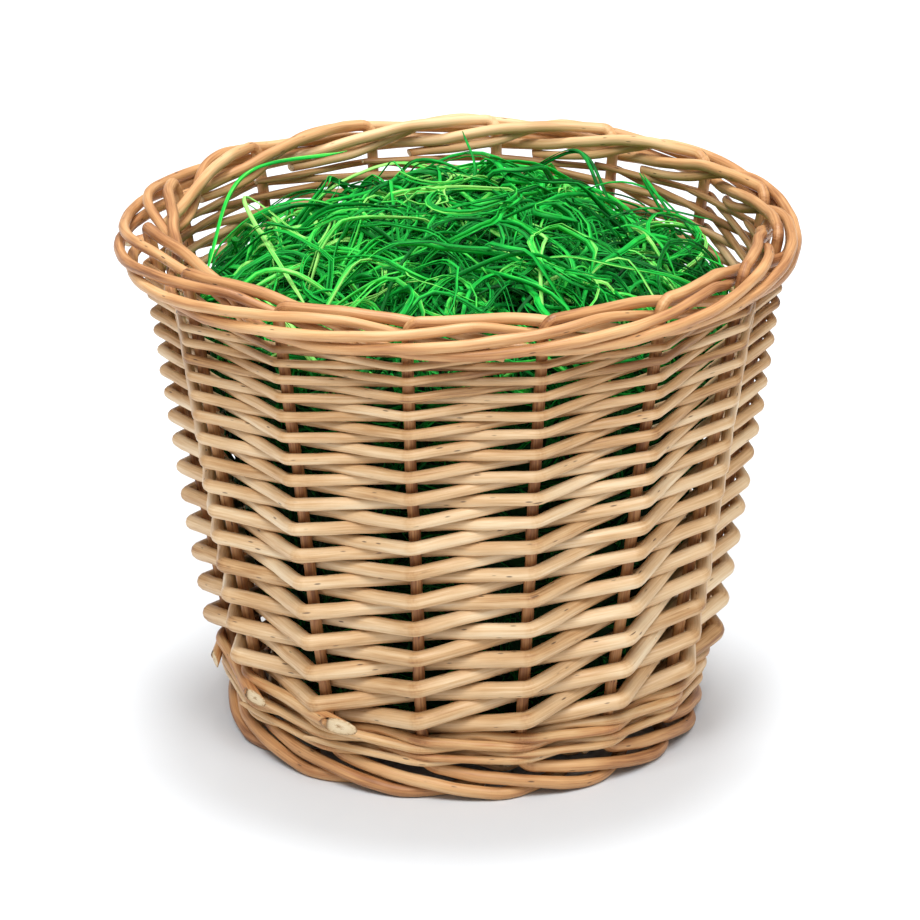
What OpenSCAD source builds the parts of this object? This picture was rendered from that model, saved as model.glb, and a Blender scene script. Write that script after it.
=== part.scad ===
// Round splayed wicker basket with a nest of green wood wool.
// Every willow rod is a solid of its own. A stake is one rod: its lower end is the foot border,
// its middle stands in the wall and its upper end is the rim border.
// Azimuths are in degrees, counted from the front (-Y) towards the right (+X).

/* [Basket] */
// Height from the floor to the crest of the rim border
basket_h = 219; // [215:1:223]
// Radius to the axis of the stakes, at the floor
stake_foot_r = 91.5; // [90:0.5:93]
// How far the stakes lean outwards, in mm for each mm of height
stake_lean = 0.167; // [0.15:0.001:0.18]
// Azimuth of the first stake
first_stake_az = -10.2; // [-12:0.1:12]
// How far the stakes at the back are turned towards the right, in degrees
stake_sway = 4; // [0:0.5:4]

/* [Stakes] */
// Diameter of a stake in the foot border, its thick end
stake_foot_d = 5.2; // [4.6:0.1:5.2]
// Diameter of a stake in the wall
stake_wall_d = 4.8; // [4.2:0.1:4.8]
// Diameter of a stake where it ends inside the rim border
stake_tip_d = 3.6; // [3:0.1:4.4]

/* [Siding] */
// Height of the lowest outside crossing of the siding
siding_low_z = 36.4; // [36.4:0.1:37]
// Height of the highest outside crossing of the siding
siding_high_z = 198.4; // [197:0.2:199]
// Diameter of a weaver at its thick end
weaver_butt_d = 7.1; // [6:0.1:7.1]
// Diameter of a weaver at its thin end
weaver_tip_d = 3.0; // [2.6:0.1:3]

/* [Wale] */
// Height of the lowest wale stroke
wale_low_z = 15.4; // [15.2:0.1:15.6]
// Diameter of a wale rod at its thin end
wale_tip_d = 2.6; // [2.2:0.1:2.6]
// Diameter of a wale rod at its thick end
wale_butt_d = 4.2; // [3.6:0.1:4.2]

/* [Base] */
// Height of the middle of the base sticks
base_z = 13; // [13:0.1:13.5]
// Diameter of a base stick
base_stick_d = 5.4; // [4.6:0.1:5.4]
// How far the base sticks reach from the axis
base_reach = 88; // [86:0.5:88]
// Diameter of a base weaver at the centre
base_weaver_inner_d = 2.4; // [2:0.1:2.4]
// Diameter of a base weaver at the edge
base_weaver_outer_d = 3.8; // [3:0.1:3.8]

/* [Filling] */
// Height of the grass in the middle
grass_mid_z = 211; // [200:1:213]
// Height of the grass at the wall
grass_edge_z = 182; // [176:1:184]
// Radius of the grass at its widest
grass_edge_r = 111; // [106:0.5:111]

/* [Hidden] */
stake_n = 15;
weaver_n = 15;
wale_n = 3;
base_stick_n = 8;
step = 360 / stake_n;
sides = 6;
gap = 0.15;

// Extra clearance where a rod bends round the outside or the inside of a stake
outer_bend = 1.14;
inner_bend = 1.03;

// The siding: row 0 is a weaver's first outside crossing, odd rows lie inside the stakes
first_row = -1;
last_outer_row = 30;
last_row = 31;
butt_overhang = 8;
tip_overhang = 6;
row_gain = (siding_high_z - siding_low_z) / (last_outer_row * (weaver_butt_d + weaver_tip_d) / 2);

// The siding starts on the wale, which is thickest at the stake before its end
wale_end_stake = 14;
wale_rise = 9;
level_stakes = 3;

// The wale: stroke n lies outside stakes n and n + 1 and inside stake n + 2
wale_strokes = 32;
wale_first_stake = 12;
wale_spacing = 1.08;
wale_swell = 0.6;
wale_end_overhang = 9;

// The foot border, as [stake spacings after the stake, radius, height]
foot_r = stake_foot_r + 5.9;
floor_z = stake_foot_d / 2 * cos(180 / sides);
foot_route = [
    [2.6, foot_r - 13.9, floor_z],
    [2.3, foot_r - 7.9, floor_z],
    [2.0, foot_r - 2.8, floor_z],
    [1.75, foot_r - 0.6, floor_z],
    [1.4, foot_r, 5],
    [1.0, foot_r - 0.1, 8.2],
    [0.6, foot_r - 1.2, 10.2],
    [0.35, foot_r - 3.1, 11.3],
    [0.1, foot_r - 4.1, 12.8],
    [0, stake_foot_r + stake_lean * 17, 17]
];
crest_z = basket_h - stake_wall_d / 2 * cos(180 / sides);
rim_r = stake_foot_r + stake_lean * siding_high_z;

// The rim border: a stake kinks over at the crest, passes inside the next stake, comes out below the
// next stake's rod, rises in front of three stakes, goes inside one more and ends under the border
rim_route = [
    [0, rim_r + 2.2, crest_z - 4],
    [0.06, rim_r + 2.3, crest_z - 0.4],
    [0.3, rim_r + 0.6, crest_z],
    [0.6, rim_r - 2.6, crest_z - 0.4],
    [0.8, rim_r - 3.9, crest_z - 1.2],
    [1.0, rim_r - 4.2, crest_z - 2.6],
    [1.25, rim_r - 4.3, crest_z - 5],
    [1.5, rim_r - 2.4, crest_z - 7.6],
    [1.75, rim_r + 1.8, crest_z - 10.1],
    [2.0, rim_r + 6.4, crest_z - 11.5],
    [2.5, rim_r + 9.6, crest_z - 11.1],
    [3.0, rim_r + 11, crest_z - 8.6],
    [3.5, rim_r + 10.7, crest_z - 6.1],
    [4.0, rim_r + 8.6, crest_z - 3.3],
    [4.3, rim_r + 6.3, crest_z - 1.2],
    [4.55, rim_r + 3.4, crest_z - 1.4],
    [4.8, rim_r - 0.8, crest_z - 4.8],
    [5.0, rim_r - 3.8, crest_z - 7.8],
    [5.25, rim_r - 4.8, crest_z - 10.6],
    [5.45, rim_r - 3.4, crest_z - 12.3],
    [5.7, rim_r + 1.2, crest_z - 14.2]
];
rim_end = 5.7;
wall_low_z = 26;
wall_high_z = 196;

// The base: a slath of four split and four through sticks, opened out into 16 rays
slath_pitch = base_stick_d + 0.4;
slath_half = 2 * slath_pitch + 3;
ray_start_r = 27;
base_weave_start_r = 32;
base_weave_end_r = 84.5;
base_ray_n = 16;
base_round_pitch = base_weaver_outer_d + 0.2;

function two_digits(n) = n < 10 ? str("0", n) : str(n);
STAKE_NODES = [for (i = [1:stake_n]) str("stake_", two_digits(i))];
WEAVER_NODES = [for (i = [1:weaver_n]) str("weaver_", two_digits(i))];
WALE_NODES = [for (i = [1:wale_n]) str("wale_rod_", i)];
BASE_STICK_NODES = [for (i = [1:base_stick_n]) str("base_stick_", i)];
BASE_WEAVER_NODES = ["base_weaver_1", "base_weaver_2"];

willow_tan = [0.80, 0.60, 0.38];
willow_cream = [0.86, 0.72, 0.50];
willow_pale = [0.88, 0.76, 0.55];
willow_brown = [0.72, 0.52, 0.34];
grass_green = [0.05, 0.62, 0.16];

// Geometry helpers
function polar(az, r, z) = [r * sin(az), -r * cos(az), z];
function unit(v) = v / norm(v);
function mix(a, b, t) = a + (b - a) * t;
function stake_az(i) = let (az = first_stake_az + step * i) az - stake_sway * (1 - cos(az));
function stake_r(z) = stake_foot_r + stake_lean * z;
function outward(p) = unit([p.x, p.y, 0]);

// Direction of a route at its point i: the mean of the two stretches that meet there
function heading(route, i) =
    let (last = len(route) - 1)
    let (before = i > 0 ? unit(route[i] - route[i - 1]) : unit(route[1] - route[0]))
    let (after = i < last ? unit(route[i + 1] - route[i]) : before)
    unit(before + after);

// One ring of a rod, with a corner towards the side vector
function ring(p, along, side, r) =
    let (n1 = unit(side - (side * along) * along))
    let (n2 = cross(along, n1))
    [for (k = [0:sides - 1]) p + r * (cos(360 * k / sides) * n1 + sin(360 * k / sides) * n2)];

// A rod that follows a route, with a radius and a side vector at each point
module rod(route, radii, side_vectors) {
    last = len(route) - 1;
    rings = [for (i = [0:last]) each ring(route[i], heading(route, i), side_vectors[i], radii[i])];
    skin = [
        for (i = [0:last - 1], k = [0:sides - 1])
            let (a = i * sides + k, b = i * sides + (k + 1) % sides)
            each [[a, a + sides, b], [b, a + sides, b + sides]]
    ];
    start_cap = [for (k = [0:sides - 1]) k];
    end_cap = [for (k = [sides - 1:-1:0]) last * sides + k];
    polyhedron(points = rings, faces = concat([start_cap], skin, [end_cap]), convexity = 10);
}

// A rod whose rings all face outwards from the basket's axis
module wall_rod(route, radii) {
    rod(route, radii, [for (p = route) outward(p)]);
}

// The point where a route begins once it is lengthened straight back
function lead_in(route, distance) = route[0] + distance * unit(route[0] - route[1]);

// The point where a route ends once it is lengthened straight on
function lead_out(route, distance) =
    let (last = len(route) - 1)
    route[last] + distance * unit(route[last] - route[last - 1]);

// Stakes
function border_point(i, spot) = polar(stake_az(i + spot[0]), spot[1], spot[2]);

function stake_route(i) = concat(
    [for (spot = foot_route) border_point(i, spot)],
    [for (z = [wall_low_z, wall_high_z]) polar(stake_az(i), stake_r(z), z)],
    [for (spot = rim_route) border_point(i, spot)]
);

stake_radii = concat(
    [for (spot = foot_route) stake_foot_d / 2],
    [stake_wall_d / 2, stake_wall_d / 2],
    [for (spot = rim_route) mix(stake_wall_d, stake_tip_d, pow(spot[0] / rim_end, 3)) / 2]
);

module stake(i) {
    color(willow_tan) wall_rod(stake_route(i), stake_radii);
}

// Siding: weaver i passes stake i + row, rising by its own thickness from stake to stake
function weaver_r(row) = mix(weaver_butt_d, weaver_tip_d, max(row, 0) / last_outer_row) / 2;

function row_z(row, i) =
    let (rise = row_gain * (weaver_butt_d * row
                            - (weaver_butt_d - weaver_tip_d) * row * row / (2 * last_outer_row)))
    let (past_end = (i - wale_end_stake + 2 * stake_n) % stake_n)
    let (wale_step = wale_rise * max(past_end + 1, level_stakes) / stake_n)
    siding_low_z + rise + wale_step * (last_row - row) / (last_row + 1);

function crossing(i, z, r, outside) =
    let (reach = stake_wall_d / 2 + r + gap)
    polar(stake_az(i), stake_r(z) + (outside ? outer_bend * reach : -inner_bend * reach), z);

function weaver_points(i) = [
    for (row = [first_row:last_row])
        crossing(i + row, row_z(row, i + row), weaver_r(row), row % 2 == 0)
];

module weaver(i) {
    points = weaver_points(i);
    route = concat([lead_in(points, butt_overhang)], points, [lead_out(points, tip_overhang)]);
    radii = concat([weaver_r(first_row)],
                   [for (row = [first_row:last_row]) weaver_r(row)],
                   [weaver_r(last_row) * 0.8]);
    color(willow_cream) wall_rod(route, radii);
}

// Wale: each stroke starts on top of the one before it and ends below the one after it
function wale_d(n) = mix(wale_tip_d, wale_butt_d, pow(n / wale_strokes, wale_swell));

function wale_climb(n) = wale_spacing * (1.5 * wale_d(n) + 0.5 * wale_d(n + stake_n));

function wale_z(n) =
    n < stake_n
        ? wale_low_z + wale_climb(0) * n / stake_n
        : wale_z(n - stake_n) + wale_climb(n - stake_n);

function wale_point(n, lift, outside) =
    crossing(wale_first_stake + n, wale_z(n) + lift * wale_spacing * wale_d(n), wale_d(n) / 2, outside);

function wale_stroke(n) =
    let (inside = wale_point(n + 2, 0, false))
    let (next = wale_point(n + 3, 1, true))
    let (between = (inside + next) / 2)
    let (goes_on = n + wale_n < wale_strokes)
    concat(
        [wale_point(n, 1, true), wale_point(n + 1, 0, true)],
        goes_on ? [inside, [between.x, between.y, next.z]] : []
    );

function wale_stroke_radii(n) = [
    for (k = n + wale_n < wale_strokes ? [0, 1, 2, 2.5] : [0, 1]) wale_d(n + k) / 2
];

module wale_rod(k) {
    strokes = [k:wale_n:wale_strokes - 1];
    points = [for (n = strokes) each wale_stroke(n)];
    route = concat([lead_in(points, wale_end_overhang)], points, [lead_out(points, wale_end_overhang)]);
    radii = concat([wale_tip_d / 4], [for (n = strokes) each wale_stroke_radii(n)], [wale_butt_d / 2]);
    color(willow_pale) wall_rod(route, radii);
}

// Base sticks 1 to 4 run left to right through the splits of sticks 5 to 8
function base_stick_points(m) =
    let (across = (m - 1.5) * slath_pitch)
    let (az = (m - 1.5) * 360 / base_ray_n)
    let (bend = [ray_start_r * cos(az), ray_start_r * sin(az)])
    let (end = [base_reach * cos(az), base_reach * sin(az)])
    [
        [-end.x, end.y, base_z],
        [-bend.x, bend.y, base_z],
        [-slath_half, across, base_z],
        [slath_half, across, base_z],
        [bend.x, bend.y, base_z],
        [end.x, end.y, base_z]
    ];

module base_rod(m, d) {
    points = base_stick_points(m);
    rod(points, [for (p = points) d / 2], [for (p = points) [0, 0, 1]]);
}

module through_stick(m) {
    color(willow_brown) base_rod(m, base_stick_d);
}

// A split stick swells where the through sticks pass between its halves
module split_stick(m) {
    opening = base_stick_d + 0.3;
    swell = [1.9, 0.98, 1];
    color(willow_brown) difference() {
        rotate([0, 0, 90]) union() {
            base_rod(m, base_stick_d);
            translate([0, (m - 1.5) * slath_pitch, base_z]) rotate([0, 90, 0])
                scale(swell) cylinder(d = base_stick_d, h = 2 * slath_half - 2, center = true);
        }
        translate([0, 0, base_z])
            cube([base_reach, 4 * slath_pitch + 0.6, opening], center = true);
    }
}

// Base weavers: two rods chase each other over and under the 16 rays, outwards round by round
function base_weave_r(turn) = base_weave_start_r + 2 * base_round_pitch * turn;

function base_weaver_point(k, n) =
    let (r = base_weave_r(n / base_ray_n))
    let (weaver_d = base_weaver_d(r))
    let (need = base_stick_d / 2 + weaver_d / 2 + gap)
    let (lean = 2 * need / (r * 2 * PI / base_ray_n))
    let (lift = need / sqrt(1 - lean * lean))
    polar(360 * (n + 0.5) / base_ray_n + 180 * k, r, base_z + ((n + k) % 2 == 0 ? lift : -lift));

function base_weaver_d(r) =
    mix(base_weaver_inner_d, base_weaver_outer_d,
        (r - base_weave_start_r) / (base_weave_end_r - base_weave_start_r));

module base_weaver(k) {
    turns = (base_weave_end_r - base_weave_start_r) / (2 * base_round_pitch);
    last = floor(turns * base_ray_n);
    points = [for (n = [0:last]) base_weaver_point(k, n)];
    radii = [for (p = points) base_weaver_d(norm([p.x, p.y])) / 2];
    color(willow_tan) wall_rod(points, radii);
}

// The nest of wood wool: one closed solid that fills the basket, with a domed top
module grass_filling() {
    floor_top = base_z + 8;
    floor_r = 78;
    side = [
        [floor_r + 4, floor_top + 5],
        [floor_r + 5.5, floor_top + 21],
        [grass_edge_r - 1, grass_edge_z - 8]
    ];
    dome_h = grass_mid_z - grass_edge_z;
    dome_r = (pow(grass_edge_r, 2) + pow(dome_h, 2)) / (2 * dome_h);
    dome_half = asin(grass_edge_r / dome_r);
    dome = [for (k = [10:-1:0]) dome_r * [sin(dome_half * k / 10), cos(dome_half * k / 10)]
                                + [0, grass_mid_z - dome_r]];
    color(grass_green) rotate_extrude($fn = 96)
        polygon(concat([[0, floor_top], [floor_r, floor_top]], side, dome));
}

for (i = [0:stake_n - 1])
    stake(i);
for (i = [0:weaver_n - 1])
    weaver(i);
for (i = [0:wale_n - 1])
    wale_rod(i);
for (i = [0:base_stick_n / 2 - 1])
    through_stick(i);
for (i = [0:base_stick_n / 2 - 1])
    split_stick(i);
for (i = [0:1])
    base_weaver(i);
grass_filling();
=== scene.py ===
import math
import random

import bpy
import numpy as np
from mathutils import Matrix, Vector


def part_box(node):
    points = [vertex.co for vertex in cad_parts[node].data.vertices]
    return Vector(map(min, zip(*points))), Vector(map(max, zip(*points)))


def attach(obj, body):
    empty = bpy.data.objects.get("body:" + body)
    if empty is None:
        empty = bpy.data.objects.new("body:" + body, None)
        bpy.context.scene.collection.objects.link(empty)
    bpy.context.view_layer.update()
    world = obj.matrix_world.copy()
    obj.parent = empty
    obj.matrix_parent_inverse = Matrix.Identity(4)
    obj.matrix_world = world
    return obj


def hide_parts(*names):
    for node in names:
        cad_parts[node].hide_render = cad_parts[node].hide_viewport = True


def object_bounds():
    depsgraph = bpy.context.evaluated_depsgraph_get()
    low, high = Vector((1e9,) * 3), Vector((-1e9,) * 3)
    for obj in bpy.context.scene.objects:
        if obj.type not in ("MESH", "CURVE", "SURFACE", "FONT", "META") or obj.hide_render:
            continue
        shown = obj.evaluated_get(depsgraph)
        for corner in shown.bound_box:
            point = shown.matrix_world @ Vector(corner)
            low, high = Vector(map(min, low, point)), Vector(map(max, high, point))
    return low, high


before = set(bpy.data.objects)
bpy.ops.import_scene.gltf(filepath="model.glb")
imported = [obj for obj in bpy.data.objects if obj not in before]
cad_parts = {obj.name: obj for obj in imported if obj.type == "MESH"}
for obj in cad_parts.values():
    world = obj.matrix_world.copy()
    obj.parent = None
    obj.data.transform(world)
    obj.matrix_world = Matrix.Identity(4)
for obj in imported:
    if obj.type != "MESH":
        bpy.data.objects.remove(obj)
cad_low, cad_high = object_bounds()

# A round splayed willow basket with a nest of green wood wool. Lengths below are in millimetres and
# azimuths in degrees, from the front (-Y) towards the right (+X); meshes are made in metres.
MM = 0.001
UP = np.array([0.0, 0.0, 1.0])

# Sizes of the weave, as in the CAD source
BASKET_H = cad_high.z / MM
STAKES = 15
STEP = 360 / STAKES
FIRST_STAKE_AZ = -10.2
STAKE_SWAY = 4
STAKE_FOOT_R = 91.5
STAKE_LEAN = 0.167
STAKE_FOOT_D = 5.2
STAKE_WALL_D = 4.8
STAKE_TIP_D = 3.6

SIDING_LOW_Z = 36.4
SIDING_HIGH_Z = 198.4
WEAVER_BUTT_D = 7.1
WEAVER_TIP_D = 3.0
FIRST_ROW = -1
LAST_OUTER_ROW = 30
LAST_ROW = 31
BUTT_OVERHANG = 8
TIP_OVERHANG = 6
ROW_GAIN = (SIDING_HIGH_Z - SIDING_LOW_Z) / (LAST_OUTER_ROW * (WEAVER_BUTT_D + WEAVER_TIP_D) / 2)
GAP = 0.15
OUTER_BEND = 1.14
INNER_BEND = 1.03
OUTER_PUSH = 0.5
OUTER_CORNER = 2.2
INNER_CORNER = 8.0

WALE_LOW_Z = 15.4
WALE_TIP_D = 2.6
WALE_BUTT_D = 4.2
WALE_END_STAKE = 14
WALE_RISE = 9
LEVEL_STAKES = 3
WALE_RODS = 3
WALE_STROKES = 32
WALE_FIRST_STAKE = 12
WALE_SPACING = 1.08
WALE_SWELL = 0.6
WALE_OVERHANG = 9
BUTT_LENGTH = 45
BUTT_SWELLS = (1.4, 1.65, 1.1)
BUTT_PUSH = 4.6
BUTT_CUT = -2.3
WALE_STOUTNESS = 1.1

BASE_Z = 13
BASE_STICK_D = 5.4
BASE_REACH = 88
BASE_WEAVER_INNER_D = 2.4
BASE_WEAVER_OUTER_D = 3.8
BASE_RAYS = 16
BASE_STICKS = 8
SLATH_PITCH = BASE_STICK_D + 0.4
SLATH_HALF = 2 * SLATH_PITCH + 3
RAY_START_R = 27
BASE_WEAVE_START_R = 32
BASE_WEAVE_END_R = 84.5
BASE_ROUND_PITCH = BASE_WEAVER_OUTER_D + 0.2

ROD_SIDES = 12
RING_SPACING = 4.0
TURN = np.linspace(0, 2 * math.pi, ROD_SIDES, endpoint=False)
END_RING = 0.84
GRAIN_SHIFT = 0.0371
STAKE_WOBBLE = 0.3
WEAVER_WOBBLE = 0.25
WALE_WOBBLE = 0.2
STICK_WOBBLE = 0.12
BASE_WEAVER_WOBBLE = 0.08


# ---------------------------------------------------------------- small helpers
def mix(a, b, t):
    return a + (b - a) * t


def smooth_step(t):
    t = np.clip(t, 0, 1)
    return t * t * (3 - 2 * t)


def fade_in(z, low, high):
    """A soft step from 0 at the low height to 1 at the high one."""
    return smooth_step((z - low) / (high - low))


def polar(az, r, z):
    a = math.radians(az)
    return np.array([r * math.sin(a), -r * math.cos(a), z])


def unit(v):
    return v / np.linalg.norm(v, axis=-1, keepdims=True)


def outward(points):
    flat = points * np.array([1.0, 1.0, 0.0])
    return unit(flat)


def stake_az(i):
    az = FIRST_STAKE_AZ + STEP * i
    return az - STAKE_SWAY * (1 - math.cos(math.radians(az)))


def stake_r(z):
    return STAKE_FOOT_R + STAKE_LEAN * z


# ---------------------------------------------------------------- materials
# The unnamed sockets of a colour Mix node
MIX_FACTOR, MIX_A, MIX_B, MIX_RESULT = 0, 6, 7, 2
BUMP_DISTANCE = 0.0004
WILLOW_ROUGHNESS = (0.34, 0.60)
FLOOR_COLOUR = (0.69, 0.717, 0.745, 1.0)


def empty_material(name):
    """A new material without nodes, and short ways to add a node to it and to join two sockets."""
    material = bpy.data.materials.new(name)
    material.use_nodes = True
    tree = material.node_tree
    tree.nodes.clear()

    def add(kind, **values):
        made = tree.nodes.new(kind)
        for key, value in values.items():
            setattr(made, key, value)
        return made

    return material, add, tree.links.new


def ramp(add, join, source, stops):
    """A colour ramp over the source, with stops of (place, colour)."""
    made = add("ShaderNodeValToRGB")
    elements = made.color_ramp.elements
    while len(elements) < len(stops):
        elements.new(1.0)
    for element, (place, colour) in zip(elements, stops):
        element.position = place
        element.color = (*colour, 1.0)
    join(source, made.inputs[0])
    return made.outputs[0]


def product(add, join, a, b):
    made = add("ShaderNodeMath", operation="MULTIPLY")
    join(a, made.inputs[0])
    join(b, made.inputs[1])
    return made.outputs[0]


def weighted(add, join, terms, start=0.0):
    """Sum of socket * weight, for a list of (socket, weight)."""
    total = None
    for socket, weight in terms:
        step = add("ShaderNodeMath", operation="MULTIPLY_ADD")
        join(socket, step.inputs[0])
        step.inputs[1].default_value = weight
        step.inputs[2].default_value = start
        if total is not None:
            join(total, step.inputs[2])
        total = step.outputs[0]
    return total


def drawn_out(add, join, grain, stretch):
    """The straightened rod's space, scaled along the rod: below 1, a pattern in it comes out long."""
    scaled = add("ShaderNodeVectorMath", operation="MULTIPLY")
    scaled.inputs[1].default_value = (1.0, 1.0, stretch)
    join(grain, scaled.inputs[0])
    return scaled.outputs[0]


def grain_noise(add, join, grain, stretch, scale, detail):
    noise = add("ShaderNodeTexNoise")
    noise.inputs["Scale"].default_value = scale
    noise.inputs["Detail"].default_value = detail
    join(drawn_out(add, join, grain, stretch), noise.inputs["Vector"])
    return noise.outputs[0]


def surface(add, join, colour, relief, bump_strength, specular):
    """The shader of a material, joined to its output; its roughness is left to the caller."""
    bump = add("ShaderNodeBump")
    bump.inputs["Strength"].default_value = bump_strength
    bump.inputs["Distance"].default_value = BUMP_DISTANCE
    join(relief, bump.inputs["Height"])
    shader = add("ShaderNodeBsdfPrincipled")
    shader.inputs["Specular IOR Level"].default_value = specular
    join(colour, shader.inputs["Base Color"])
    join(bump.outputs[0], shader.inputs["Normal"])
    output = add("ShaderNodeOutputMaterial")
    join(shader.outputs[0], output.inputs[0])
    return shader


def dashes(add, join, grain):
    """Small dark marks drawn out along the rod, in loose groups, as a socket from 0 to 1."""
    cells = add("ShaderNodeTexVoronoi", feature="F1")
    cells.inputs["Scale"].default_value = 400.0
    join(drawn_out(add, join, grain, 0.22), cells.inputs["Vector"])
    white, black, pale = (1, 1, 1), (0, 0, 0), (0.8, 0.8, 0.8)
    spots = ramp(add, join, cells.outputs["Distance"], [(0.0, white), (0.08, white), (0.15, black)])
    groups = grain_noise(add, join, grain, 0.5, 110.0, 1.0)
    return product(add, join, spots, ramp(add, join, groups, [(0.0, black), (0.42, black), (0.52, pale)]))


def willow(name, colours, mark_colour):
    """Peeled willow: long fibres, slow tone changes, small dark dashes, creased bends and a satin face."""
    material, add, join = empty_material(name)
    grain = add("ShaderNodeAttribute", attribute_name="grain").outputs["Vector"]
    # This attribute holds the rod's tone, with painted shade in stakes, borders and the weavers' top rows
    tone_and_shade = add("ShaderNodeAttribute", attribute_name="tone_and_shade").outputs["Fac"]
    bend = add("ShaderNodeAttribute", attribute_name="bend").outputs["Fac"]
    fine = grain_noise(add, join, grain, 0.04, 1500.0, 3.0)
    streak = grain_noise(add, join, grain, 0.05, 420.0, 3.0)
    slow = grain_noise(add, join, grain, 0.30, 60.0, 3.0)
    creased = product(add, join, grain_noise(add, join, grain, 2.4, 700.0, 2.0), bend)
    marks = dashes(add, join, grain)

    terms = [(fine, 0.80), (streak, 0.92), (slow, 1.35), (tone_and_shade, 0.62), (creased, 0.30)]
    tone = weighted(add, join, terms, start=-1.31)
    marked = add("ShaderNodeMix", data_type="RGBA")
    join(marks, marked.inputs[MIX_FACTOR])
    join(ramp(add, join, tone, colours), marked.inputs[MIX_A])
    marked.inputs[MIX_B].default_value = (*mark_colour, 1.0)

    relief = weighted(add, join, [(fine, 0.35), (streak, 0.9), (creased, 1.3), (marks, -0.7)])
    shader = surface(add, join, marked.outputs[MIX_RESULT], relief, 0.6, 0.45)
    rough = add("ShaderNodeMapRange")
    rough.inputs["To Min"].default_value = WILLOW_ROUGHNESS[0]
    rough.inputs["To Max"].default_value = WILLOW_ROUGHNESS[1]
    join(streak, rough.inputs[0])
    join(rough.outputs[0], shader.inputs["Roughness"])
    return material


def cut_willow():
    """The cut end of a rod: pale wood with a brown pith and a darker edge."""
    material, add, join = empty_material("cut_willow")
    across = add("ShaderNodeAttribute", attribute_name="across").outputs["Fac"]
    grain = add("ShaderNodeAttribute", attribute_name="grain").outputs["Vector"]
    speckle = grain_noise(add, join, grain, 1.0, 1600.0, 3.0)
    place = weighted(add, join, [(across, 1.0), (speckle, 0.9)], start=-0.45)
    colour = ramp(add, join, place, [
        (0.0, (0.36, 0.22, 0.11)), (0.14, (0.56, 0.40, 0.23)), (0.3, (0.74, 0.60, 0.40)),
        (0.8, (0.66, 0.50, 0.30)), (1.0, (0.42, 0.25, 0.12))])
    shader = surface(add, join, colour, speckle, 0.6, 0.5)
    shader.inputs["Roughness"].default_value = 0.8
    return material


def wood_wool(name, colours, roughness):
    """Dyed wood wool: hue and painted shade differ from strand to strand, with pale fibre lines along each.
    """
    material, add, join = empty_material(name)
    grain = add("ShaderNodeAttribute", attribute_name="grain").outputs["Vector"]
    hue_and_shade = add("ShaderNodeAttribute", attribute_name="tone_and_shade").outputs["Fac"]
    fibre = grain_noise(add, join, grain, 0.04, 2600.0, 2.0)
    patch = grain_noise(add, join, grain, 0.4, 120.0, 2.0)
    tone = weighted(add, join, [(hue_and_shade, 1.0), (fibre, 0.85), (patch, 0.75)], start=-0.80)
    shader = surface(add, join, ramp(add, join, tone, colours), fibre, 0.8, 0.2)
    shader.inputs["Roughness"].default_value = roughness
    return material


def floor_paint():
    material = bpy.data.materials.new("studio_floor")
    material.use_nodes = True
    shader = material.node_tree.nodes["Principled BSDF"]
    shader.inputs["Base Color"].default_value = FLOOR_COLOUR
    shader.inputs["Roughness"].default_value = 0.9
    return material


WEAVER_WILLOW = willow(
    "weaver_willow",
    [(0.0, (0.80, 0.63, 0.41)), (0.3, (0.70, 0.49, 0.28)), (0.55, (0.60, 0.38, 0.19)),
     (0.8, (0.46, 0.25, 0.10)), (1.0, (0.28, 0.13, 0.05))],
    (0.07, 0.03, 0.015))
STAKE_WILLOW = willow(
    "stake_willow",
    [(0.0, (0.76, 0.50, 0.26)), (0.3, (0.65, 0.38, 0.17)), (0.55, (0.54, 0.275, 0.11)),
     (0.8, (0.38, 0.165, 0.06)), (1.0, (0.22, 0.085, 0.03))],
    (0.06, 0.025, 0.012))
WALE_WILLOW = willow(
    "wale_willow",
    [(0.0, (0.80, 0.61, 0.37)), (0.3, (0.70, 0.47, 0.25)), (0.55, (0.60, 0.36, 0.16)),
     (0.8, (0.48, 0.22, 0.08)), (1.0, (0.30, 0.12, 0.045))],
    (0.07, 0.03, 0.015))
BASE_WILLOW = willow(
    "base_willow",
    [(0.0, (0.66, 0.45, 0.25)), (0.3, (0.56, 0.35, 0.17)), (0.55, (0.47, 0.26, 0.12)),
     (0.8, (0.34, 0.16, 0.065)), (1.0, (0.21, 0.09, 0.035))],
    (0.06, 0.025, 0.012))
CUT_WILLOW = cut_willow()
GRASS = wood_wool(
    "wood_wool",
    [(0.0, (0.0003, 0.02, 0.003)), (0.22, (0.0005, 0.12, 0.016)), (0.45, (0.0012, 0.31, 0.032)),
     (0.66, (0.008, 0.54, 0.055)), (0.84, (0.08, 0.70, 0.08)), (1.0, (0.36, 0.80, 0.18))],
    0.55)
# Painted shade: the core's near-black greens stand for the shade deep in the nest
GRASS_CORE_SHADE = wood_wool(
    "wood_wool_shaded_core",
    [(0.0, (0.0003, 0.010, 0.002)), (0.5, (0.0008, 0.04, 0.006)), (1.0, (0.002, 0.08, 0.01))],
    0.8)


# ---------------------------------------------------------------- rods
def eased(route, reaches):
    """Dense centreline of a route of (x, y, z, radius) rows: straight stretches and rounded corners.

    A fifth column says how sharply the rod is bent there, from 0 to 1.
    """
    route = np.column_stack([route, np.zeros(len(route))])
    line = [route[0]]
    for i in range(1, len(route) - 1):
        before, corner, after = route[i - 1:i + 2]
        reach_in = np.linalg.norm(before[:3] - corner[:3])
        reach_out = np.linalg.norm(after[:3] - corner[:3])
        reach = min(reaches[i], 0.49 * reach_in, 0.49 * reach_out)
        start = mix(corner, before, reach / reach_in)
        end = mix(corner, after, reach / reach_out)
        turned = 1 - float(unit(corner[:3] - before[:3]) @ unit(after[:3] - corner[:3]))
        line += straight(line[-1], start)
        for t in np.linspace(0.2, 1.0, 5):
            point = mix(mix(start, corner, t), mix(corner, end, t), t)
            point[4] = min(1.0, 6 * turned) * math.sin(math.pi * (t + 0.1) / 1.2)
            line.append(point)
    line += straight(line[-1], route[-1])
    return np.array(line)


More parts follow.
